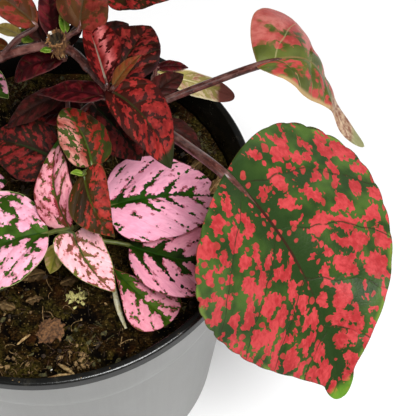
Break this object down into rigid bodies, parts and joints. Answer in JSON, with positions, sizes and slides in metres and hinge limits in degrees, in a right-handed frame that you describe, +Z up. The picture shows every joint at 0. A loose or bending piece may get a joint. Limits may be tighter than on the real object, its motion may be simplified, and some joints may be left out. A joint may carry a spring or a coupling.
{
  "type": "potted polka dot plant",
  "caption": "Bushy polka dot plant with spotted red, pink and green leaves in a grey plastic nursery pot of soil.",
  "frame": {"origin": "centre of the pot's underside, on the surface it stands on", "axes": "+Z up along the pot's axis; +X towards the largest leaf's side; -Y is the side that the picture shows"},
  "size_m": [0.1852, 0.1657, 0.178],
  "materials": {
    "pot_plastic": "satin",
    "soil": "rough",
    "red_leaf": "satin",
    "pink_leaf": "satin",
    "olive_leaf": "satin",
    "bark": "rough",
    "straw": "rough"
  },
  "bodies": {
    "root": {"pot": "pot_plastic", "soil": "soil", "shoot_red_arching": "red_leaf", "shoot_red_long": "red_leaf", "shoot_red_left": "red_leaf", "shoot_red_small": "red_leaf", "shoot_red_side": "red_leaf", "shoot_red_front": "red_leaf", "shoot_red_back": "red_leaf", "shoot_pink_front": "pink_leaf", "shoot_pink_left": "pink_leaf", "shoot_pink_back": "pink_leaf", "shoot_olive_tall": "olive_leaf", "bark_chip": "bark", "straw_long": "straw", "straw_crossing": "straw", "straw_short": "straw", "dead_stalk": "straw"}
  },
  "joints": []
}
